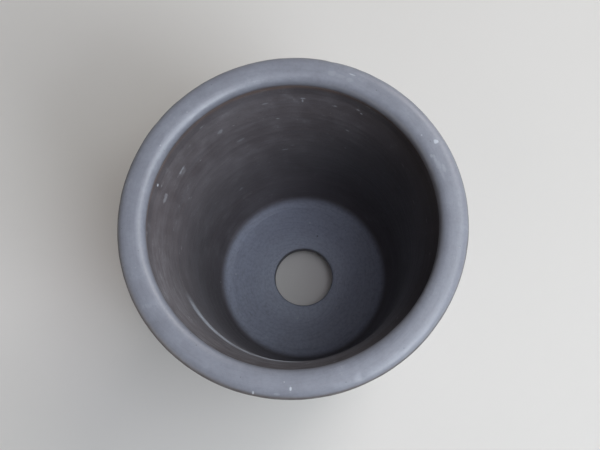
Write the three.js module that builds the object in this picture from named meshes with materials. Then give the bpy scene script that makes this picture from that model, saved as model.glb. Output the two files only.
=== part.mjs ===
// A deep round bonsai pot of unglazed stoneware, in the pieces it is luted together from before firing:
// a rolled rim coil, a flared wall, a floor slab with one drain hole, and three arc feet.
// Millimetres, +Z up, origin at the centre of the plane the feet stand on. Neighbours keep a 0.3 mm joint line.
import * as THREE from "three";
import { mergeVertices } from "three/addons/utils/BufferGeometryUtils.js";

// ---- driving dimensions -------------------------------------------------
const RIM_RADIUS = 90; // outside of the rolled rim, 180 mm across
const RIM_WIDTH = 14.8; // radial width of the rim coil
const RIM_HALF_HEIGHT = 6; // rim coil above and below its widest plane
const RIM_SQUARENESS = 2.8; // 2 is a plain ellipse, more is squarer
const FOOT_HEIGHT = 8; // ground to the underside of the floor slab
const FLOOR_THICKNESS = 8;
const INNER_DEPTH = 143; // floor top to the rim's widest plane
const HOLE_RADIUS = 19.0; // single round drain hole
const HOLE_ROUND = 0.9; // softened edges of the hole
const SLAB_RADIUS = 64;
const FOOT_OUTER = 62.5; // arc feet, radial limits at the top
const FOOT_INNER = 50.5;
const FOOT_TAPER = 1.4; // each side leans in by this much at the ground
const FOOT_SPAN = 50; // degrees
const FOOT_AZIMUTHS = { foot_back: 90, foot_front_left: 210, foot_front_right: 330 };
const JOINT = 0.3; // joint line between neighbouring pieces
const SIDES = 72; // facets round each turned piece

const FLOOR_TOP = FOOT_HEIGHT + FLOOR_THICKNESS; // 16
const RIM_Z = FLOOR_TOP + INNER_DEPTH; // 159
const SEAT_Z = RIM_Z - 4.4; // underside of the coil where it sits on the wall
const WALL_TOP = SEAT_Z - JOINT;
const WALL_BASE = FLOOR_TOP + JOINT;

// ---- helpers --------------------------------------------------------------
// A closed (r, z) section turned about Z. The section runs so that its faces point out.
function turned(section) {
  const pts = section.map(([r, z]) => new THREE.Vector2(r, z));
  pts.push(pts[0].clone());
  let area = 0;
  for (let i = 0; i + 1 < pts.length; i++)
    area += pts[i].x * pts[i + 1].y - pts[i + 1].x * pts[i].y;
  if (area < 0) pts.reverse();
  const g = new THREE.LatheGeometry(pts, SIDES);
  g.deleteAttribute("normal");
  g.deleteAttribute("uv");
  g.rotateX(Math.PI / 2); // the lathe turns about Y
  return mergeVertices(g, 1e-4);
}

// A closed (r, z) section swept about Z through stations [angle in degrees, inset in mm], ends capped.
function arcSwept(sectionAt, stations) {
  const rows = stations.map(([deg, inset]) => {
    const a = THREE.MathUtils.degToRad(deg);
    return sectionAt(inset).map(([r, z]) => [r * Math.cos(a), r * Math.sin(a), z]);
  });
  const n = rows[0].length;
  const flat = sectionAt(0).map(([r, z]) => new THREE.Vector2(r, z));
  const caps = THREE.ShapeUtils.triangulateShape(flat, []);
  const index = [];
  for (let k = 0; k + 1 < rows.length; k++)
    for (let i = 0; i < n; i++) {
      const j = (i + 1) % n;
      const a = k * n + i, b = k * n + j, c = (k + 1) * n + j, d = (k + 1) * n + i;
      index.push(a, c, b, a, d, c);
    }
  const last = (rows.length - 1) * n;
  for (const [a, b, c] of caps) {
    index.push(a, b, c);
    index.push(last + a, last + c, last + b);
  }
  const g = new THREE.BufferGeometry();
  g.setAttribute("position", new THREE.Float32BufferAttribute(rows.flat(2), 3));
  g.setIndex(index);
  return g;
}

function clay(color, roughness) {
  return new THREE.MeshStandardMaterial({ color, roughness, metalness: 0 });
}

const pot = new THREE.Group();
pot.name = "bonsai_pot";
function add(name, geometry, material) {
  const mesh = new THREE.Mesh(geometry, material);
  mesh.name = name;
  pot.add(mesh);
}

// ---- rim coil: a rolled, nearly elliptical coil seated over the wall's top edge ----
{
  const half = RIM_WIDTH / 2;
  const mid = RIM_RADIUS - half;
  const e = 2 / RIM_SQUARENESS;
  const pw = (v) => Math.sign(v) * Math.pow(Math.abs(v), e);
  const at = (deg) => {
    const a = THREE.MathUtils.degToRad(deg);
    return [mid + half * pw(Math.cos(a)), RIM_Z + RIM_HALF_HEIGHT * pw(Math.sin(a))];
  };
  const section = [];
  for (let deg = -76; deg <= 212; deg += 12) section.push(at(deg));
  section.push([77.6, SEAT_Z]); // flat seat over the wall's top edge
  section.push([84.5, SEAT_Z]);
  add("rim_coil", turned(section), clay(0x87868f, 0.62));
}

// ---- wall: flares to the rim, upright in the middle, drawn in towards the floor, soft corner inside ----
{
  const inner = [
    [77.4, WALL_TOP],
    [77.1, 151.5],
    [76.8, 148.5],
    [75.9, 145],
    [74.0, 141],
    [72.2, 136.8],
    [70.5, 132],
    [68.8, 126],
    [67.3, 119],
    [66.1, 111],
    [65.2, 103],
    [64.3, 93],
    [63.6, 82],
    [63.0, 70],
    [62.2, 58],
    [60.9, 47.5],
    [59.2, 39],
    [57.4, 31.5],
    [55.9, 26],
    [54.6, 21.4],
    [53.3, 18.9],
    [51.6, 17.4],
    [49.6, WALL_BASE + 0.45],
    [49.4, WALL_BASE],
  ];
  const outer = [
    [64.0, WALL_BASE],
    [64.9, 21],
    [66.7, 29],
    [68.7, 38],
    [70.4, 47.5],
    [71.7, 58],
    [72.5, 70],
    [73.0, 82],
    [73.6, 93],
    [74.6, 104],
    [75.8, 116],
    [77.3, 125],
    [79.2, 133],
    [81.4, 140],
    [82.9, 146],
    [83.8, 151],
    [84.1, WALL_TOP],
  ];
  add("wall", turned([...inner, ...outer]), clay(0x4d4a50, 0.7));
}

// ---- floor slab: a disc with one round drain hole, edges softened ----
{
  const h = HOLE_RADIUS, q = HOLE_ROUND, s = 0.7071 * q;
  const section = [
    [h + q, FOOT_HEIGHT],
    [h + q - s, FOOT_HEIGHT + q - s],
    [h, FOOT_HEIGHT + q],
    [h, FLOOR_TOP - q],
    [h + q - s, FLOOR_TOP - q + s],
    [h + q, FLOOR_TOP],
    [34, FLOOR_TOP],
    [49, FLOOR_TOP],
    [SLAB_RADIUS, FLOOR_TOP],
    [SLAB_RADIUS - 0.2, 12.5],
    [SLAB_RADIUS - 1.0, 10],
    [SLAB_RADIUS - 2.6, FOOT_HEIGHT + 0.4],
    [SLAB_RADIUS - 3.6, FOOT_HEIGHT],
    [48, FOOT_HEIGHT],
    [34, FOOT_HEIGHT],
  ];
  add("floor_slab", turned(section), clay(0x59626c, 0.75));
}

// ---- three arc feet: flat pads with leaning, softened sides ----
{
  const top = FOOT_HEIGHT - JOINT;
  const sectionAt = (inset) => {
    const i = inset;
    const t = FOOT_TAPER;
    return [
      [FOOT_INNER + i * 0.6, top],
      [FOOT_INNER + t * 0.6 + i, 3.2],
      [FOOT_INNER + t + i, 1.0],
      [FOOT_INNER + t + 1.1 + i, 0],
      [FOOT_OUTER - t - 1.1 - i, 0],
      [FOOT_OUTER - t - i, 1.0],
      [FOOT_OUTER - t * 0.6 - i, 3.2],
      [FOOT_OUTER - i * 0.6, top],
    ];
  };
  for (const [name, azimuth] of Object.entries(FOOT_AZIMUTHS)) {
    const a0 = azimuth - FOOT_SPAN / 2;
    const stations = [[a0, 1.6], [a0 + 1.2, 0.6], [a0 + 3, 0]];
    for (let k = 1; k < 8; k++) stations.push([a0 + 3 + (k * (FOOT_SPAN - 6)) / 8, 0]);
    stations.push([a0 + FOOT_SPAN - 3, 0], [a0 + FOOT_SPAN - 1.2, 0.6], [a0 + FOOT_SPAN, 1.6]);
    add(name, arcSwept(sectionAt, stations), clay(0x57545a, 0.72));
  }
}

export default pot;
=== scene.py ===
import math

import bpy
import numpy as np
from mathutils import Matrix, Vector


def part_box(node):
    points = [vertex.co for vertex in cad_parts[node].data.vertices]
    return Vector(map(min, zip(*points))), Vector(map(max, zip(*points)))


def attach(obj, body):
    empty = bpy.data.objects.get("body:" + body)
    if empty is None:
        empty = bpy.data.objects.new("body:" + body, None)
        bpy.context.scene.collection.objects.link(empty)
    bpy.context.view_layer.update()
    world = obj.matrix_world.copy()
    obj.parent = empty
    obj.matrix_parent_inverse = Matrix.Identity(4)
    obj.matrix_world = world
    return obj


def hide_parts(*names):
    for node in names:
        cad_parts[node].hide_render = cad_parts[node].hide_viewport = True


# A deep round bonsai pot of unglazed purple-brown stoneware. Every visible clay piece is a dense mesh made here,
# turned and worn by small position-based displacements, so that neighbouring pieces meet with no step.
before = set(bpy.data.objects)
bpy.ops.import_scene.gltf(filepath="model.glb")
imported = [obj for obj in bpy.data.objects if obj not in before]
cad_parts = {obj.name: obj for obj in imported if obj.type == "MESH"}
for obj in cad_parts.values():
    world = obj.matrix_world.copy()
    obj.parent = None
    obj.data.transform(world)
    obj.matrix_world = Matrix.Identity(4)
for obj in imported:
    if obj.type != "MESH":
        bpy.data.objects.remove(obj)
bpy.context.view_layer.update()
scene = bpy.context.scene
MM = 0.001

# ---------------------------------------------------------------- sizes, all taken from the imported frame
rim_lo, rim_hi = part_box("rim_coil")
wall_lo, wall_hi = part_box("wall")
slab_lo, slab_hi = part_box("floor_slab")
foot_lo, foot_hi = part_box("foot_back")
R = rim_hi.x / MM                    # rim's outer radius, mm
TOP = rim_hi.z / MM                  # top of the rim
RIM_Z = TOP - 6.0                    # widest plane of the rim coil
SEAM_Z = wall_hi.z / MM              # where wall and coil meet
FLOOR = slab_hi.z / MM               # floor's upper face
UNDER = slab_lo.z / MM               # floor's lower face
SLAB_R = slab_hi.x / MM
GROUND = foot_lo.z / MM
FOOT_R = foot_hi.y / MM


# ---------------------------------------------------------------- noise in numpy, seeded and repeatable
def _hash(i, j, k, seed):
    h = (i.astype(np.uint32) * np.uint32(374761393) + j.astype(np.uint32) * np.uint32(668265263)
         + k.astype(np.uint32) * np.uint32(2246822519) + np.uint32(seed) * np.uint32(3266489917))
    h = (h ^ (h >> np.uint32(13))) * np.uint32(1274126177)
    h = (h ^ (h >> np.uint32(15))) * np.uint32(2246822519)
    return h ^ (h >> np.uint32(16))


def perlin(p, seed=0):
    """Gradient noise of (n, 3) points, about -1..1."""
    p = np.asarray(p, float)
    c = np.floor(p).astype(np.int64)
    f = p - c
    u = f * f * f * (f * (f * 6 - 15) + 10)
    out = 0.0
    for dx in (0, 1):
        for dy in (0, 1):
            for dz in (0, 1):
                h = _hash(c[:, 0] + dx, c[:, 1] + dy, c[:, 2] + dz, seed)
                gx = (h & np.uint32(1023)).astype(float) / 511.5 - 1
                gy = ((h >> np.uint32(10)) & np.uint32(1023)).astype(float) / 511.5 - 1
                gz = ((h >> np.uint32(20)) & np.uint32(1023)).astype(float) / 511.5 - 1
                dot = gx * (f[:, 0] - dx) + gy * (f[:, 1] - dy) + gz * (f[:, 2] - dz)
                w = ((u[:, 0] if dx else 1 - u[:, 0]) * (u[:, 1] if dy else 1 - u[:, 1])
                     * (u[:, 2] if dz else 1 - u[:, 2]))
                out = out + w * dot
    return out * 1.5


def fbm(p, octaves=3, seed=0, gain=0.5):
    total, amp, norm = 0.0, 1.0, 0.0
    for o in range(octaves):
        total = total + amp * perlin(p * (2.03 ** o) + 17.3 * o, seed + o * 101)
        norm += amp
        amp *= gain
    return total / norm


def smooth(a, b, x):
    t = np.clip((x - a) / (b - a), 0, 1)
    return t * t * (3 - 2 * t)


# ---------------------------------------------------------------- how hand and wheel have moved the clay
def shape_error(p):
    """mm along the normal at points p (n, 3) in mm: turning rings, soft lumps, fine tooth. The same everywhere, so seams close."""
    r = np.hypot(p[:, 0], p[:, 1])
    th = np.arctan2(p[:, 1], p[:, 0])
    z = p[:, 2]
    spiral = th / (2 * math.pi)
    # rings: noise that depends on height and radius only, and drifts slowly round the pot
    ring_a = perlin(np.stack([z * 0.21 + spiral * 0.0, r * 0.21, 0.35 * np.cos(th)], 1), 11)
    ring_b = perlin(np.stack([z * 0.62, r * 0.62, 0.6 * np.sin(th) + 3.1], 1), 12)
    ring_c = perlin(np.stack([z * 1.35, r * 1.35, 1.2 * np.cos(th + 1.0)], 1), 13)
    lumps = fbm(p * 0.028, 2, 21)
    tooth = fbm(p * 0.55, 3, 31)
    inside = smooth(78.5, 76.5, r) * smooth(157.0, 153.0, z)          # inner wall and floor
    on_rim = smooth(SEAM_Z - 1.5, SEAM_Z + 1.5, z)
    rings = 0.10 * ring_a + 0.085 * ring_b + 0.05 * ring_c
    near_floor = smooth(60, 22, z) * inside
    gain = 0.55 + 0.75 * inside - 0.45 * on_rim - 0.35 * near_floor
    return rings * gain + 0.16 * lumps + (0.045 - 0.02 * on_rim) * tooth


def out_of_round(p):
    """A thrown pot is never a true circle: a small inward ovalling, and a lip that dips a little."""
    th = np.arctan2(p[:, 1], p[:, 0])
    k = 1 - 0.0008 * (0.5 + 0.5 * np.cos(2 * th + 0.9)) - 0.0004 * (0.5 + 0.5 * np.cos(3 * th - 1.3))
    q = p.copy()
    q[:, 0] *= k
    q[:, 1] *= k
    dip = 0.14 * (0.5 + 0.5 * np.cos(th * 2 - 0.4)) + 0.08 * (0.5 + 0.5 * np.sin(3 * th + 0.6))
    q[:, 2] -= (dip + 0.03) * smooth(60, TOP, p[:, 2])
    return q


# ---------------------------------------------------------------- profiles
def spline(points, step):
    """Points (r, z) through a centripetal Catmull-Rom curve, resampled every `step` mm. The ends stay where they are."""
    P = np.array(points, float)
    P = np.vstack([2 * P[0] - P[1], P, 2 * P[-1] - P[-2]])
    dense = []
    for i in range(1, len(P) - 2):
        p0, p1, p2, p3 = P[i - 1], P[i], P[i + 1], P[i + 2]
        t0 = 0.0
        t1 = t0 + max(np.linalg.norm(p1 - p0), 1e-6) ** 0.5
        t2 = t1 + max(np.linalg.norm(p2 - p1), 1e-6) ** 0.5
        t3 = t2 + max(np.linalg.norm(p3 - p2), 1e-6) ** 0.5
        t = np.linspace(t1, t2, 24, endpoint=False)[:, None]
        a1 = (t1 - t) / (t1 - t0) * p0 + (t - t0) / (t1 - t0) * p1
        a2 = (t2 - t) / (t2 - t1) * p1 + (t - t1) / (t2 - t1) * p2
        a3 = (t3 - t) / (t3 - t2) * p2 + (t - t2) / (t3 - t2) * p3
        b1 = (t2 - t) / (t2 - t0) * a1 + (t - t0) / (t2 - t0) * a2
        b2 = (t3 - t) / (t3 - t1) * a2 + (t - t1) / (t3 - t1) * a3
        dense.append((t2 - t) / (t2 - t1) * b1 + (t - t1) / (t2 - t1) * b2)
    D = np.vstack(dense + [P[-2][None]])
    s = np.concatenate([[0], np.cumsum(np.linalg.norm(np.diff(D, axis=0), axis=1))])
    n = max(2, int(round(s[-1] / step)) + 1)
    u = np.linspace(0, s[-1], n)
    return np.stack([np.interp(u, s, D[:, 0]), np.interp(u, s, D[:, 1])], 1)


def line(a, b, step):
    n = max(2, int(round(math.dist(a, b) / step)) + 1)
    return np.linspace(a, b, n)


def join(*parts):
    """Chains pieces of profile into one closed loop, dropping doubled points."""
    out = []
    for part in parts:
        for q in part:
            if not out or math.dist(out[-1], q) > 0.02:
                out.append((float(q[0]), float(q[1])))
    if math.dist(out[0], out[-1]) < 0.02:
        out.pop()
    P = np.array(out)
    area = np.sum(P[:, 0] * np.roll(P[:, 1], -1) - np.roll(P[:, 0], -1) * P[:, 1])
    return P if area > 0 else P[::-1].copy()


def loop_normals(P):
    """Outward normals of a counter-clockwise closed loop in (r, z)."""
    t = np.roll(P, -1, 0) - np.roll(P, 1, 0)
    n = np.stack([t[:, 1], -t[:, 0]], 1)
    return n / np.maximum(np.linalg.norm(n, axis=1, keepdims=True), 1e-9)


def piece(name, co, quads, mat, node):
    me = bpy.data.meshes.new(name)
    me.from_pydata(co.tolist(), [], quads)
    me.update()
    me.polygons.foreach_set("use_smooth", np.ones(len(me.polygons), bool))
    me.materials.append(mat)
    o = bpy.data.objects.new(name, me)
    scene.collection.objects.link(o)
    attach(o, "root")
    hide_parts(node)
    return o


def turned(P, sides, extra=None):
    """Vertices (mm) and quads of the closed loop P turned about Z, with the clay's shape error applied."""
    n = len(P)
    N = loop_normals(P)
    th = np.arange(sides) * 2 * math.pi / sides
    c, s = np.cos(th)[:, None], np.sin(th)[:, None]
    co = np.stack([P[None, :, 0] * c, P[None, :, 0] * s, np.broadcast_to(P[None, :, 1], (sides, n))], -1).reshape(-1, 3)
    nr = np.stack([N[None, :, 0] * c, N[None, :, 0] * s, np.broadcast_to(N[None, :, 1], (sides, n))], -1).reshape(-1, 3)
    d = shape_error(co)
    if extra is not None:
        d = d + extra(co, nr)
    co = out_of_round(co + nr * d[:, None])
    i = np.arange(sides)[:, None]
    j = np.arange(n)[None, :]
    a = i * n + j
    b = i * n + (j + 1) % n
    c2 = ((i + 1) % sides) * n + (j + 1) % n
    d2 = ((i + 1) % sides) * n + j
    quads = np.stack([a, d2, c2, b], -1).reshape(-1, 4)
    return co, quads


# ================================================================ materials
class Tree:
    """Short names for building one material's nodes."""

    def __init__(self, name):
        self.m = bpy.data.materials.new(name)
        self.m.use_nodes = True
        self.t = self.m.node_tree
        self.t.nodes.clear()
        self.x = 0

    def n(self, kind, **props):
        node = self.t.nodes.new(kind)
        self.x += 40
        node.location = (self.x, 0)
        for k, v in props.items():
            setattr(node, k, v)
        return node

    def put(self, socket, v):
        if hasattr(v, "default_value") or isinstance(v, bpy.types.NodeSocket):
            self.t.links.new(v, socket)
        else:
            socket.default_value = v

    def math(self, op, a, b=0.0, c=None, clamp=False):
        k = self.n("ShaderNodeMath", operation=op, use_clamp=clamp)
        self.put(k.inputs[0], a)
        self.put(k.inputs[1], b)
        if c is not None:
            self.put(k.inputs[2], c)
        return k.outputs[0]

    def vec(self, op, a, b=None, scale=None):
        k = self.n("ShaderNodeVectorMath", operation=op)
        self.put(k.inputs[0], a)
        if b is not None:
            self.put(k.inputs[1], b)
        if scale is not None:
            self.put(k.inputs["Scale"], scale)
        return k.outputs["Value"] if op in ("LENGTH", "DISTANCE", "DOT_PRODUCT") else k.outputs["Vector"]

    def ramp(self, v, lo, hi, to0=0.0, to1=1.0, soft=True):
        k = self.n("ShaderNodeMapRange", interpolation_type="SMOOTHSTEP" if soft else "LINEAR")
        self.put(k.inputs["Value"], v)
        for key, val in (("From Min", lo), ("From Max", hi), ("To Min", to0), ("To Max", to1)):
            self.put(k.inputs[key], val)
        return k.outputs["Result"]

    def mix(self, f, a, b, blend="MIX"):
        k = self.n("ShaderNodeMix", data_type="RGBA", blend_type=blend)
        self.put(k.inputs[0], f)
        self.put(k.inputs[6], a)
        self.put(k.inputs[7], b)
        return k.outputs[2]

    def noise(self, v, scale, detail=3.0, rough=0.55, dist=0.0):
        k = self.n("ShaderNodeTexNoise", noise_dimensions="3D")
        self.put(k.inputs["Vector"], v)
        k.inputs["Scale"].default_value = scale
        k.inputs["Detail"].default_value = detail
        k.inputs["Roughness"].default_value = rough
        k.inputs["Distortion"].default_value = dist
        return k.outputs["Fac"]

    def cells(self, v, scale, feature="F1", rnd=1.0):
        k = self.n("ShaderNodeTexVoronoi", voronoi_dimensions="3D", feature=feature)
        self.put(k.inputs["Vector"], v)
        k.inputs["Scale"].default_value = scale
        k.inputs["Randomness"].default_value = rnd
        return k.outputs["Distance"], k.outputs["Color"]

    def colour(self, rgb):
        return (rgb[0], rgb[1], rgb[2], 1.0)


def srgb(r, g, b):
    f = lambda c: c / 12.92 if c <= 0.04045 else ((c + 0.055) / 1.055) ** 2.4
    return tuple(f(v / 255.0) for v in (r, g, b)) + (1.0,)


# dust and lime marks on the clay: (x, y, z) in mm, half-size along the turning direction, half-size across, strength
MARKS = [
    (81.3, 23.7, 164.8, 1.25, 1.1, 0.80), (41.3, 64.7, 162.7, 0.50, 0.45, 0.85), (75.0, 28.6, 164.7, 0.40, 0.40, 0.75),
    (78.6, 14.2, 164.5, 2.6, 0.9, 0.24), (79.4, 11.0, 164.8, 3.6, 1.6, 0.20), (81.6, 8.6, 165.0, 3.0, 1.0, 0.20), (80.2, 5.6, 165.0, 3.4, 0.8, 0.14),
    (77.2, 16.6, 164.3, 1.0, 0.7, 0.34), (-36.2, -80.9, 163.2, 0.50, 1.05, 0.95), (-17.9, -83.1, 164.7, 0.55, 1.05, 0.95),
    (-20.2, -79.2, 165.0, 0.45, 0.40, 0.45), (-25.0, -84.0, 163.6, 1.6, 0.7, 0.20), (8.4, -77.6, 164.6, 0.45, 0.40, 0.50),
    (47.8, 69.5, 164.9, 2.0, 0.38, 0.60), (37.8, 72.7, 165.0, 2.2, 1.5, 0.14), (41.5, 70.1, 164.9, 2.6, 1.0, 0.12),
    (46.1, 66.7, 164.9, 1.8, 1.2, 0.12), (-41.0, 69.0, 164.9, 0.40, 0.40, 0.40), (-58.0, 54.0, 164.6, 0.45, 0.40, 0.40),
    (-65.6, 39.1, 147.2, 0.80, 0.95, 0.85), (-53.0, 48.0, 135.0, 3.6, 0.7, 0.30), (-53.2, 48.6, 133.6, 3.2, 2.0, 0.10),
    (-63.8, 34.4, 137.6, 3.0, 1.4, 0.20), (-27.9, 65.7, 134.7, 1.6, 1.3, 0.17), (-18.0, 64.7, 118.1, 2.6, 1.1, 0.15),
    (-26.6, 55.9, 55.5, 1.5, 1.5, 0.20), (20.4, 70.8, 140.4, 0.5, 1.2, 0.34), (20.8, 71.6, 142.0, 1.4, 0.4, 0.30),
    (-0.1, 73.8, 140.6, 1.9, 0.5, 0.18), (49.7, 55.4, 142.0, 0.9, 0.5, 0.50), (5.7, 63.8, 88.4, 2.1, 0.55, 0.40),
    (39.8, 51.5, 102.9, 0.45, 0.42, 0.45), (-8.0, 65.0, 101.0, 2.6, 0.6, 0.24), (14.0, 67.0, 121.0, 2.2, 0.6, 0.24),
    (-43.2, 11.7, 16.0, 0.45, 0.40, 0.55), (11.9, 34.8, 16.0, 0.45, 0.40, 0.60), (-53.5, 7.6, 20.5, 0.5, 0.5, 0.50),
]
# small dark pits: (x, y, z) in mm, radius, strength
DARK_MARKS = [(14.9, 24.9, 16.0, 0.75, 0.75), (15.8, -45.5, 16.0, 0.65, 0.6), (22.4, -44.0, 16.0, 0.5, 0.5), (-31.0, 80.5, 163.9, 0.5, 0.5),
              (58.2, 58.0, 164.6, 0.45, 0.5), (33.0, -47.0, 70.0, 0.7, 0.6), (-58.0, -28.0, 90.0, 0.6, 0.5)]


def clay(name, part):
    """Unglazed purple-brown stoneware. One clay everywhere; the lip and the floor, which faced the fire, carry a slate-blue bloom."""
    T = Tree(name)
    coord = T.n("ShaderNodeTexCoord")
    P = T.vec("SCALE", coord.outputs["Object"], scale=1000.0)          # mm
    sep = T.n("ShaderNodeSeparateXYZ")
    T.put(sep.inputs[0], P)
    flat = T.n("ShaderNodeCombineXYZ")
    T.put(flat.inputs[0], sep.outputs[0])
    T.put(flat.inputs[1], sep.outputs[1])
    r = T.vec("LENGTH", flat.outputs[0])
    z = sep.outputs[2]
    unit = T.vec("NORMALIZE", flat.outputs[0])
    # spaces stretched along the turning direction: slow round the pot, fast up the wall and across the floor
    up = T.n("ShaderNodeCombineXYZ")
    T.put(up.inputs[0], T.math("MULTIPLY", r, 0.9))
    T.put(up.inputs[2], z)
    turned_space = T.vec("ADD", T.vec("SCALE", unit, scale=6.0), up.outputs[0])
    fleck_space = T.vec("ADD", T.vec("SCALE", unit, scale=24.0), up.outputs[0])

    broad = T.noise(P, 0.020, 2.0, 0.5, 0.3)
    mid = T.noise(P, 0.10, 3.0, 0.5, 0.2)
    fine = T.noise(P, 0.55, 4.0, 0.6)
    grit = T.noise(P, 2.3, 2.0, 0.6)
    streak = T.noise(turned_space, 0.50, 3.0, 0.6)
    thin = T.noise(turned_space, 1.6, 2.0, 0.55)

    dark = srgb(82, 76, 78)
    light = srgb(100, 95, 98)
    base = T.mix(T.ramp(T.math("ADD", T.math("MULTIPLY", broad, 0.65), T.math("MULTIPLY", mid, 0.35)), 0.34, 0.66), dark, light)

    # bloom: all over the lip's upper half, over the flat of the floor, thin on the outside of the wall
    wander = T.math("MULTIPLY", T.math("SUBTRACT", mid, 0.5), 2.4)
    if part == "rim":
        zz = T.math("ADD", T.math("ADD", z, T.math("MULTIPLY", wander, 0.6)), T.ramp(r, 79.0, 87.0, 3.2, 0.0))
        # the brown edge is widest, and the bloom stops highest, on the side turned away from the lamps: painted shade
        # that follows the light
        shaded_side = T.ramp(T.vec("DOT_PRODUCT", unit, (math.cos(math.radians(-20)), math.sin(math.radians(-20)), 0.0)), 0.9, -0.3)
        zz = T.math("SUBTRACT", zz, T.math("MULTIPLY", shaded_side, 0.9))
        mask = T.ramp(zz, RIM_Z + 1.4, RIM_Z + 4.2, 0.02, 0.95)
        cool = srgb(139, 142, 153)
    elif part in ("wall", "floor"):
        rr = T.math("ADD", r, T.math("MULTIPLY", wander, 0.5))
        mask = T.math("MULTIPLY", T.ramp(rr, 55.5, 49.5), T.ramp(z, FLOOR + 6.0, FLOOR + 1.2))
        mask = T.math("MULTIPLY", mask, T.ramp(z, UNDER + 2.0, UNDER + 5.0, 0.35, 0.90))
        geo = T.n("ShaderNodeNewGeometry")
        facing = T.vec("DOT_PRODUCT", geo.outputs["Normal"], unit)
        mask = T.math("MAXIMUM", mask, T.math("MULTIPLY", T.ramp(facing, -0.1, 0.3, 0.0, 0.26), T.ramp(broad, 0.35, 0.62, 0.50, 1.0)))
        cool = srgb(144, 150, 168)
    else:
        mask = T.ramp(broad, 0.35, 0.62, 0.13, 0.26)
        cool = srgb(118, 122, 135)
    mottled = T.math("MULTIPLY", mask, T.ramp(T.math("ADD", T.math("MULTIPLY", mid, 0.6), T.math("MULTIPLY", fine, 0.4)), 0.34, 0.62, 0.90, 1.0))
    base = T.mix(mottled, base, cool)

    if part == "floor":
        base = T.mix(T.ramp(r, 35.0, 23.0, 0.0, 0.32), base, srgb(172, 178, 192))
        bore = T.math("MULTIPLY", T.ramp(r, 20.2, 19.2), T.ramp(z, FLOOR - 0.3, FLOOR - 1.0))
        base = T.mix(T.math("MULTIPLY", bore, 0.75), base, srgb(62, 52, 48))
    if part == "wall":
        # the shoulder where the flare begins stands proud; on one side of the pot a pale band is painted along it as a
        # highlight, and the wall above carries pale scuff streaks over a painted lighter band on that side
        side = T.vec("DOT_PRODUCT", unit, (math.cos(math.radians(228)), math.sin(math.radians(228)), 0.0))
        inward = T.ramp(facing, 0.1, -0.3)
        # painted highlight: a pale band along the shoulder on one side
        ridge_highlight = T.math("MULTIPLY", T.math("MULTIPLY", T.ramp(z, 106.0, 111.5), T.ramp(z, 121.0, 114.5)), T.ramp(side, 0.80, 0.95))
        ridge_highlight = T.math("MULTIPLY", ridge_highlight, T.math("MULTIPLY", T.ramp(streak, 0.34, 0.58, 0.55, 1.0), T.ramp(thin, 0.36, 0.60, 0.60, 1.0)))
        # pale scuff streaks, and a painted lighter band on one side of the upper wall
        scuff_and_lit_band = T.math("MULTIPLY", T.math("MULTIPLY", T.ramp(z, 110.0, 122.0), T.ramp(z, 152.0, 146.0)), T.ramp(side, 0.25, 0.95))
        scuff_and_lit_band = T.math("MULTIPLY", scuff_and_lit_band, T.math("ADD", T.ramp(thin, 0.46, 0.62, 0.08, 0.30), T.ramp(streak, 0.48, 0.66, 0.0, 0.06)))
        base = T.mix(T.math("MULTIPLY", scuff_and_lit_band, inward), base, srgb(152, 152, 156))
        base = T.mix(T.math("MULTIPLY", ridge_highlight, inward), base, srgb(198, 205, 216))

    # turning streaks and clay grain
    calm = 0.45 if part == "rim" else 1.0
    base = T.mix(T.ramp(streak, 0.44, 0.70, 0.0, 0.09 * calm), base, srgb(136, 136, 144))
    base = T.mix(T.ramp(thin, 0.54, 0.28, 0.0, 0.17 * calm), base, srgb(70, 64, 68))
    base = T.mix(T.ramp(fine, 0.58, 0.34, 0.0, 0.16 * calm), base, srgb(76, 70, 74))
    base = T.mix(T.ramp(grit, 0.56, 0.76, 0.0, 0.15), base, srgb(160, 162, 168))

    # warm iron colour where the clay folds in: under the lip, inside and out; on the rim's outer edge it deepens to
    # near black-brown, painted shade on the coil's underside
    lifted = T.math("ADD", z, T.ramp(r, 79.0, 87.0, 4.2, 0.0))
    if part == "rim":
        # painted shade: the dark outer edge reaches higher on the side turned away from the lamps
        lifted = T.math("SUBTRACT", lifted, T.math("MULTIPLY", shaded_side, 0.9))
    fold = T.math("MULTIPLY", T.ramp(z, SEAM_Z - 5.0, SEAM_Z - 0.5), T.ramp(lifted, SEAM_Z + 8.6, SEAM_Z + 6.0))
    fold = T.math("MULTIPLY", fold, T.ramp(mid, 0.30, 0.60, 0.60, 1.0))
    if part == "rim":
        fold = T.math("MULTIPLY", fold, T.math("MAXIMUM", T.ramp(z, RIM_Z - 4.4, RIM_Z - 1.6, 0.35, 1.0), T.ramp(r, 82.0, 78.0)))
    iron_tint_and_edge_shade = srgb(120, 99, 88)
    if part == "rim":
        # painted shade: near black-brown on the outer underside of the coil
        iron_tint_and_edge_shade = T.mix(T.ramp(r, 81.0, 86.5), iron_tint_and_edge_shade, srgb(56, 43, 37))
    base = T.mix(T.math("MULTIPLY", fold, 0.88), base, iron_tint_and_edge_shade)

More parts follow.
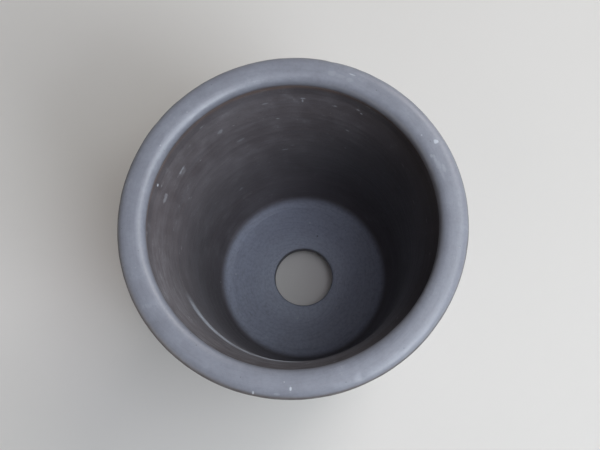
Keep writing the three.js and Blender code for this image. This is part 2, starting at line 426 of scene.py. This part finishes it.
    # scattered grains: pale sand and dark iron, and short pale flecks lying along the turning direction
    d1, c1 = T.cells(P, 0.38)
    pick1 = T.n("ShaderNodeSeparateColor")
    T.put(pick1.inputs[0], c1)
    pale = T.math("MULTIPLY", T.ramp(d1, 0.115, 0.06), T.ramp(pick1.outputs[0], 0.88, 0.92))
    d2, c2 = T.cells(T.vec("ADD", P, (31.7, 12.1, 7.7)), 0.30)
    pick2 = T.n("ShaderNodeSeparateColor")
    T.put(pick2.inputs[0], c2)
    iron = T.math("MULTIPLY", T.ramp(d2, 0.11, 0.05), T.ramp(pick2.outputs[1], 0.84, 0.88))
    d3, c3 = T.cells(fleck_space, 0.42)
    pick3 = T.n("ShaderNodeSeparateColor")
    T.put(pick3.inputs[0], c3)
    size = 0.30 if part == "wall" else 0.17
    fleck = T.math("MULTIPLY", T.ramp(d3, size, size * 0.4), T.ramp(pick3.outputs[0], 0.86 if part != "rim" else 0.94, 0.96))
    if part == "wall":
        fleck = T.math("MULTIPLY", fleck, T.ramp(z, 60.0, 120.0, 0.25, 1.0))
    fleck = T.math("MULTIPLY", fleck, T.ramp(fine, 0.42, 0.60))
    base = T.mix(T.math("MULTIPLY", pale, 0.36), base, srgb(176, 172, 166))
    base = T.mix(T.math("MULTIPLY", iron, 0.50), base, srgb(50, 42, 42))
    base = T.mix(T.math("MULTIPLY", fleck, 0.50), base, srgb(186, 188, 192))

    # dust and lime left by watering
    spans = {"rim": (158.0, 999.0), "wall": (17.0, 158.0), "floor": (0.0, 21.0)}.get(part, (-2.0, -1.0))
    dust = None
    for (mx, my, mz, along, across, strength) in MARKS:
        if not spans[0] <= mz <= spans[1]:
            continue
        rel = T.vec("SUBTRACT", P, (mx, my, mz))
        t = T.vec("DOT_PRODUCT", rel, tuple(Vector((-my, mx, 0)).normalized()))
        whole = T.vec("DOT_PRODUCT", rel, rel)
        perp2 = T.math("SUBTRACT", whole, T.math("MULTIPLY", t, t))
        q = T.math("ADD", T.math("MULTIPLY", T.math("MULTIPLY", t, t), 1.0 / along ** 2), T.math("MULTIPLY", perp2, 1.0 / across ** 2))
        q = T.math("ADD", q, T.math("MULTIPLY", T.math("SUBTRACT", fine, 0.5), 4.0 if along * across > 1.2 else 1.5))
        m = T.ramp(q, 1.5, 0.35, 0.0, strength)
        dust = m if dust is None else T.math("MAXIMUM", dust, m)
    cloud = T.math("MULTIPLY", T.ramp(mid, 0.56, 0.76), T.ramp(fine, 0.42, 0.66))
    film = T.math("MULTIPLY", cloud, T.ramp(thin, 0.40, 0.60, 0.04, 0.13))
    dust = film if dust is None else T.math("MAXIMUM", dust, film)
    base = T.mix(dust, base, srgb(196, 200, 208))
    for (mx, my, mz, radius, strength) in DARK_MARKS:
        if not spans[0] <= mz <= spans[1]:
            continue
        dist = T.vec("DISTANCE", P, (mx, my, mz))
        base = T.mix(T.ramp(dist, radius, radius * 0.4, 0.0, strength), base, srgb(40, 36, 38))

    # height detail below what the mesh carries
    h = T.math("ADD", T.math("MULTIPLY", grit, 0.30), T.math("MULTIPLY", fine, 0.40))
    h = T.math("ADD", h, T.math("MULTIPLY", thin, 0.22 if part == "rim" else 0.45))
    h = T.math("SUBTRACT", h, T.math("MULTIPLY", iron, 0.6))
    h = T.math("ADD", h, T.math("MULTIPLY", pale, 0.35))
    bump = T.n("ShaderNodeBump")
    bump.inputs["Strength"].default_value = 0.55
    bump.inputs["Distance"].default_value = 0.00022
    T.put(bump.inputs["Height"], h)

    smooth_lip = 0.17 if part == "rim" else 0.0
    rough = T.ramp(T.math("ADD", T.math("MULTIPLY", mid, 0.5), T.math("MULTIPLY", fine, 0.5)), 0.36, 0.64, 0.52 - smooth_lip, 0.66 - smooth_lip)
    rough = T.math("ADD", rough, T.math("MULTIPLY", dust, 0.25))
    rough = T.math("ADD", rough, T.math("MULTIPLY", fold, 0.22), clamp=True)

    shader = T.n("ShaderNodeBsdfPrincipled")
    T.put(shader.inputs["Base Color"], base)
    T.put(shader.inputs["Roughness"], rough)
    shader.inputs["IOR"].default_value = 1.5
    shader.inputs["Specular IOR Level"].default_value = 0.85 if part == "rim" else 0.5
    shader.inputs["Sheen Weight"].default_value = 0.08 if part == "wall" else 0.06
    shader.inputs["Sheen Roughness"].default_value = 0.32 if part == "wall" else 0.45
    shader.inputs["Sheen Tint"].default_value = (0.86, 0.92, 1.0, 1.0)
    T.put(shader.inputs["Normal"], bump.outputs["Normal"])
    out = T.n("ShaderNodeOutputMaterial")
    T.t.links.new(shader.outputs[0], out.inputs["Surface"])
    return T.m


rim_mat = clay("rim_clay", "rim")
wall_mat = clay("wall_clay", "wall")
floor_mat = clay("floor_clay", "floor")
foot_mat = clay("foot_clay", "foot")

# ================================================================ rim coil
half = (R - 75.2) / 2
mid_r = R - half
power = 2 / 2.8


def rim_section():
    a = np.radians(np.linspace(0, 360, 720, endpoint=False))
    x = mid_r + half * np.sign(np.cos(a)) * np.abs(np.cos(a)) ** power
    z = RIM_Z + 6.0 * np.sign(np.sin(a)) * np.abs(np.sin(a)) ** power
    P = np.stack([x, z], 1)
    # where it sits over the wall the coil is pressed flat, up to the seat
    over = (P[:, 0] > 77.4) & (P[:, 0] < 84.6) & (P[:, 1] < RIM_Z)
    seat = SEAM_Z + 0.1
    P[:, 1] = np.where(over & (P[:, 1] < seat), seat, P[:, 1])
    s = np.concatenate([[0], np.cumsum(np.linalg.norm(np.diff(np.vstack([P, P[:1]]), axis=0), axis=1))])
    n = 92
    u = np.linspace(0, s[-1], n, endpoint=False)
    Q = np.vstack([P, P[:1]])
    return join(np.stack([np.interp(u, s, Q[:, 0]), np.interp(u, s, Q[:, 1])], 1))


def rim_extra(co, nr):
    """Fingers and a wet sponge leave the coil a little uneven; knocks leave small flats."""
    th = np.arctan2(co[:, 1], co[:, 0])
    up = np.clip(nr[:, 2], 0, 1)
    d = -0.07 + 0.07 * perlin(np.stack([9 * np.cos(th), 9 * np.sin(th), nr[:, 2] * 1.2], 1), 41)
    d += 0.05 * perlin(np.stack([26 * np.cos(th), 26 * np.sin(th), nr[:, 2] * 2.0], 1), 42)
    for az, hz, size, depth in ((205, 0.75, 3.2, 0.30), (338, 0.55, 2.4, 0.26), (64, 0.35, 2.8, 0.24), (281, 0.85, 1.9, 0.22), (131, 0.2, 2.2, 0.2)):
        a = math.radians(az)
        c = np.array([mid_r + half * math.sqrt(1 - hz * hz) * 0.9, 0, RIM_Z + 6 * hz])
        c = np.array([c[0] * math.cos(a), c[0] * math.sin(a), c[2]])
        q = np.linalg.norm(co - c, axis=1) / size
        d -= depth * np.exp(-q * q)
    return d


co, quads = turned(rim_section(), 720, rim_extra)
rim = piece("rim_coil_clay", co * MM, quads.tolist(), rim_mat, "rim_coil")

# ================================================================ wall
inner = spline([(78.6, 156.2), (77.7, 154.6), (77.1, 152.6), (76.7, 149.5), (76.0, 145.4), (74.2, 141), (72.3, 136.8), (70.5, 132), (68.8, 126),
                (67.3, 119), (66.1, 111), (65.2, 103), (64.3, 93), (63.6, 82), (63.0, 70), (62.2, 58), (60.9, 47.5), (59.2, 39),
                (57.4, 31.5), (56.0, 26), (54.9, 22.0), (53.7, 19.3), (52.2, 17.6), (50.2, 16.55), (47.8, FLOOR + 0.10), (45.0, FLOOR - 0.35)], 0.80)
bottom = line((45.0, FLOOR - 0.35), (SLAB_R - 0.8, FLOOR - 0.3), 2.2)
outer = spline([(SLAB_R - 0.8, FLOOR - 0.3), (SLAB_R - 0.05, FLOOR + 0.35), (64.5, 18.6), (65.3, 22.6), (66.7, 29), (68.7, 38), (70.4, 47.5), (71.7, 58), (72.5, 70),
                (73.0, 82), (73.6, 93), (74.6, 104), (75.8, 116), (77.3, 125), (79.2, 133), (81.4, 140), (82.9, 146), (83.7, 151), (83.9, 154.5), (83.6, 156.2)], 0.9)
lid = line((83.6, 156.2), (78.6, 156.2), 1.2)


def wall_extra(co, nr):
    """The outside is burnished smooth, and one shallow trimmed line runs round above the base."""
    r = np.hypot(co[:, 0], co[:, 1])
    outside = smooth(SLAB_R - 1.2, SLAB_R - 0.4, r) * (nr[:, 0] * co[:, 0] + nr[:, 1] * co[:, 1] > 0)
    z = co[:, 2]
    groove = np.exp(-((z - 22.0) / 0.7) ** 2) * 0.28
    th = np.arctan2(co[:, 1], co[:, 0])
    ridge = 0.38 * np.exp(-((z - 114.0) / 1.9) ** 2) * (0.35 + 0.65 * smooth(0.3, 0.9, np.cos(th - math.radians(228))))
    return -outside * groove - 0.06 * outside + (1 - outside) * ridge


co, quads = turned(join(inner, bottom, outer, lid), 256, wall_extra)
wall = piece("wall_clay_body", co * MM, quads.tolist(), wall_mat, "wall")

# ================================================================ floor slab with its drain hole
HR = 18.8
hole = spline([(HR + 2.2, FLOOR + 0.02), (HR + 1.15, FLOOR - 0.07), (HR + 0.42, FLOOR - 0.42), (HR + 0.06, FLOOR - 1.15), (HR, FLOOR - 2.6), (HR, FLOOR - 4.2), (HR + 0.05, UNDER + 1.9),
               (HR + 0.45, UNDER + 0.7), (HR + 1.3, UNDER + 0.13), (HR + 2.6, UNDER)], 0.36)
top = line((56.0, FLOOR), (HR + 2.2, FLOOR + 0.02), 0.8)
under = line((HR + 2.6, UNDER), (SLAB_R - 4.0, UNDER), 0.95)
side = spline([(SLAB_R - 4.0, UNDER), (SLAB_R - 2.4, UNDER + 0.25), (SLAB_R - 1.0, UNDER + 1.4), (SLAB_R - 0.35, UNDER + 3.6), (SLAB_R - 0.05, UNDER + 6.0),
               (SLAB_R - 0.1, FLOOR - 0.45), (SLAB_R - 0.7, FLOOR - 0.02)], 0.5)
shut = line((SLAB_R - 0.7, FLOOR - 0.02), (56.0, FLOOR), 1.6)


def floor_extra(co, nr):
    """The edge of the hole stands a hair proud where the punch pulled the clay; the underside has trimming rings."""
    r = np.hypot(co[:, 0], co[:, 1])
    th = np.arctan2(co[:, 1], co[:, 0])
    up = nr[:, 2] > 0.5
    down = nr[:, 2] < -0.5
    halo = 0.14 * np.exp(-((r - HR - 3.6) / 1.9) ** 2) * up
    trim = 0.09 * perlin(np.stack([r * 0.33 + th * 0.15, 0.5 * np.cos(th), 0.5 * np.sin(th)], 1), 51) * down
    ragged = 0.10 * perlin(np.stack([4 * np.cos(th), 4 * np.sin(th), co[:, 2] * 0.25], 1), 52) * smooth(HR + 2.4, HR + 0.4, r)
    sink = -0.12 * (r > SLAB_R - 1.0)
    return halo + trim + ragged + sink - 0.05 * down


co, quads = turned(join(hole, under, side, shut, top), 320, floor_extra)
slab = piece("floor_slab_clay", co * MM, quads.tolist(), floor_mat, "floor_slab")


# ================================================================ feet
def foot(node, azimuth, seed):
    """An arc pad, pressed on under the slab: flat below, leaning sides, rounded ends, with a smeared fillet at the top."""
    span, stations, top_z = 50.0, 118, UNDER + 0.35
    inner_r, outer_r = 50.5, FOOT_R
    rows = []
    base = spline([(inner_r - 0.9, top_z), (inner_r - 0.1, top_z - 1.0), (inner_r + 0.25, 4.6), (inner_r + 0.7, 2.2), (inner_r + 1.35, 0.75),
                   (inner_r + 2.6, 0.08)], 0.36)
    ground = line((inner_r + 2.6, 0.08), (outer_r - 2.6, 0.08), 0.55)
    out = spline([(outer_r - 2.6, 0.08), (outer_r - 1.35, 0.75), (outer_r - 0.7, 2.2), (outer_r - 0.25, 4.6), (outer_r - 0.12, top_z - 1.0), (outer_r + 0.0, top_z)], 0.36)
    cap = line((outer_r + 0.0, top_z), (inner_r - 0.9, top_z), 1.1)
    S = join(base, ground, out, cap)
    mid_s = np.array([(inner_r + outer_r) / 2, top_z])
    length = math.radians(span) * 56.5
    for k in range(stations):
        u = k / (stations - 1)
        e = (0.5 - 0.5 * math.cos(math.pi * u))                       # finer steps at the ends
        ang = azimuth - span / 2 + span * e
        dist = min(e, 1 - e) * length                                  # mm from the nearer end
        w = math.sqrt(max(0.0, 1 - (1 - min(dist / 3.4, 1.0)) ** 2))   # round end
        w = 0.06 + 0.94 * w
        lift = (1 - w) * 1.5
        Q = S.copy()
        Q[:, 0] = mid_s[0] + (Q[:, 0] - mid_s[0]) * (0.45 + 0.55 * w)
        Q[:, 1] = top_z + (Q[:, 1] - top_z) * (0.72 + 0.28 * w)
        a = math.radians(ang)
        rows.append(np.stack([Q[:, 0] * math.cos(a), Q[:, 0] * math.sin(a), Q[:, 1]], 1))
    n = len(S)
    co = np.vstack(rows)
    # displace the sides radially and lift the ground face, in small, softly lumpy amounts
    wob = fbm(co * 0.16, 3, seed)
    rr = np.hypot(co[:, 0], co[:, 1])
    outward = np.sign(rr - mid_s[0]) * smooth(0.5, 2.0, co[:, 2])
    co[:, 0] += co[:, 0] / rr * outward * (wob * 0.16 - 0.1)
    co[:, 1] += co[:, 1] / rr * outward * (wob * 0.16 - 0.1)
    co[:, 2] += np.clip(fbm(co * 0.5, 2, seed + 5), 0, 1) * 0.12 * smooth(1.0, 0.0, co[:, 2])
    co[:, 2] = np.maximum(co[:, 2], GROUND + 0.0)
    quads = []
    for k in range(stations - 1):
        for j in range(n):
            a, b = k * n + j, k * n + (j + 1) % n
            quads.append((a, a + n, b + n, b))
    faces = quads + [tuple(range(n - 1, -1, -1)), tuple(range((stations - 1) * n, stations * n))]
    # make sure the faces look outwards
    P = co[np.array(quads[: n])]
    o = piece(node + "_clay", co * MM, faces, foot_mat, node)
    import bmesh
    bm = bmesh.new()
    bm.from_mesh(o.data)
    bmesh.ops.recalc_face_normals(bm, faces=bm.faces)
    ends = [f for f in bm.faces if len(f.verts) > 4]
    bmesh.ops.triangulate(bm, faces=ends)
    bm.to_mesh(o.data)
    bm.free()
    return o


foot("foot_back", 90, 61)
foot("foot_front_left", 210, 62)
foot("foot_front_right", 330, 63)

for o in (rim, wall, slab):
    import bmesh
    bm = bmesh.new()
    bm.from_mesh(o.data)
    bmesh.ops.recalc_face_normals(bm, faces=bm.faces)
    bm.to_mesh(o.data)
    bm.free()

# ================================================================ stage, light, camera
floor_mesh = bpy.data.meshes.new("studio_floor")
floor_mesh.from_pydata([(-6, -6, 0), (6, -6, 0), (6, 6, 0), (-6, 6, 0)], [], [(0, 1, 2, 3)])
studio = bpy.data.objects.new("studio_floor", floor_mesh)
scene.collection.objects.link(studio)
T = Tree("studio_floor")
bs = T.n("ShaderNodeBsdfPrincipled")
coord = T.n("ShaderNodeTexCoord")
nz = T.noise(coord.outputs["Object"], 3.0, 4.0, 0.5)
T.put(bs.inputs["Base Color"], T.mix(nz, (0.74, 0.71, 0.67, 1), (0.78, 0.75, 0.71, 1)))
bs.inputs["Roughness"].default_value = 0.75
o_ = T.n("ShaderNodeOutputMaterial")
T.t.links.new(bs.outputs[0], o_.inputs["Surface"])
floor_mesh.materials.append(T.m)

world = bpy.data.worlds.new("studio")
scene.world = world
world.use_nodes = True
bg = world.node_tree.nodes["Background"]
bg.inputs["Color"].default_value = (0.96, 0.98, 1.0, 1.0)
# pale walls round the table, dim above
way = world.node_tree.nodes.new("ShaderNodeTexCoord")
height = world.node_tree.nodes.new("ShaderNodeSeparateXYZ")
fade = world.node_tree.nodes.new("ShaderNodeMapRange")
fade.interpolation_type = "SMOOTHSTEP"
world.node_tree.links.new(way.outputs["Generated"], height.inputs[0])
world.node_tree.links.new(height.outputs[2], fade.inputs["Value"])
for key, val in (("From Min", 0.10), ("From Max", 0.36), ("To Min", 0.24), ("To Max", 0.02)):
    fade.inputs[key].default_value = val
world.node_tree.links.new(fade.outputs["Result"], bg.inputs["Strength"])

centre = Vector((0, 0, RIM_Z * MM))


def softbox(name, azimuth, elevation, distance, size, power_w, tint=(1, 1, 1)):
    d = bpy.data.lights.new(name, "AREA")
    d.shape = "RECTANGLE"
    d.size, d.size_y = size
    d.energy = power_w
    d.color = tint
    o = bpy.data.objects.new(name, d)
    scene.collection.objects.link(o)
    a, e = math.radians(azimuth), math.radians(elevation)
    o.location = centre + distance * Vector((math.cos(a) * math.cos(e), math.sin(a) * math.cos(e), math.sin(e)))
    o.rotation_euler = (centre - o.location).to_track_quat("-Z", "Y").to_euler()
    return o


softbox("window_a", 38, 36, 1.6, (0.8, 0.7), 7.4, (1.0, 0.94, 0.93))
softbox("window_b", 5, 54, 1.6, (0.8, 0.7), 5.0, (0.90, 0.99, 0.96))
softbox("window_c", 305, 38, 1.6, (0.8, 0.8), 15.0, (0.87, 0.93, 1.0))
softbox("window_d", 315, 60, 1.6, (0.7, 0.6), 5.7, (0.82, 0.89, 1.0))
softbox("window_low", 32, 15, 1.6, (1.0, 0.4), 0.8, (0.95, 0.97, 0.98))
softbox("ceiling", 330, 78, 1.6, (0.8, 0.6), 4.0, (0.89, 0.90, 1.0))
softbox("bounce_left", 200, 5, 1.6, (1.6, 0.35), 3.0, (1.0, 0.84, 0.66))

# camera: 15 degrees off straight down, turned 12.5 degrees
TILT, ROLL, FOCAL, DIST = math.radians(15.0), math.radians(-12.5), 950.0, 5.405
right = Vector((1, 0, 0))
fwd = Vector((0, math.sin(TILT), -math.cos(TILT)))
upv = Vector((0, math.cos(TILT), math.sin(TILT)))
c, s = math.cos(ROLL), math.sin(ROLL)
cam_x = c * right + s * upv
cam_y = -s * right + c * upv
cam = bpy.data.objects.new("camera", bpy.data.cameras.new("camera"))
scene.collection.objects.link(cam)
M = Matrix((cam_x, cam_y, -fwd)).transposed().to_4x4()
M.translation = centre - fwd * (DIST * R * MM)
cam.matrix_world = M
cam.data.sensor_width = 36.0
cam.data.lens = FOCAL * 36.0 / 600.0
cam.data.shift_x = 8.60 / 600.0
cam.data.shift_y = -3.16 / 600.0
cam.data.dof.use_dof = False
cam.data.clip_start = 0.01
scene.camera = cam

scene.view_settings.view_transform = "Standard"
scene.view_settings.look = "None"
scene.view_settings.exposure = 0.0
scene.view_settings.gamma = 1.0
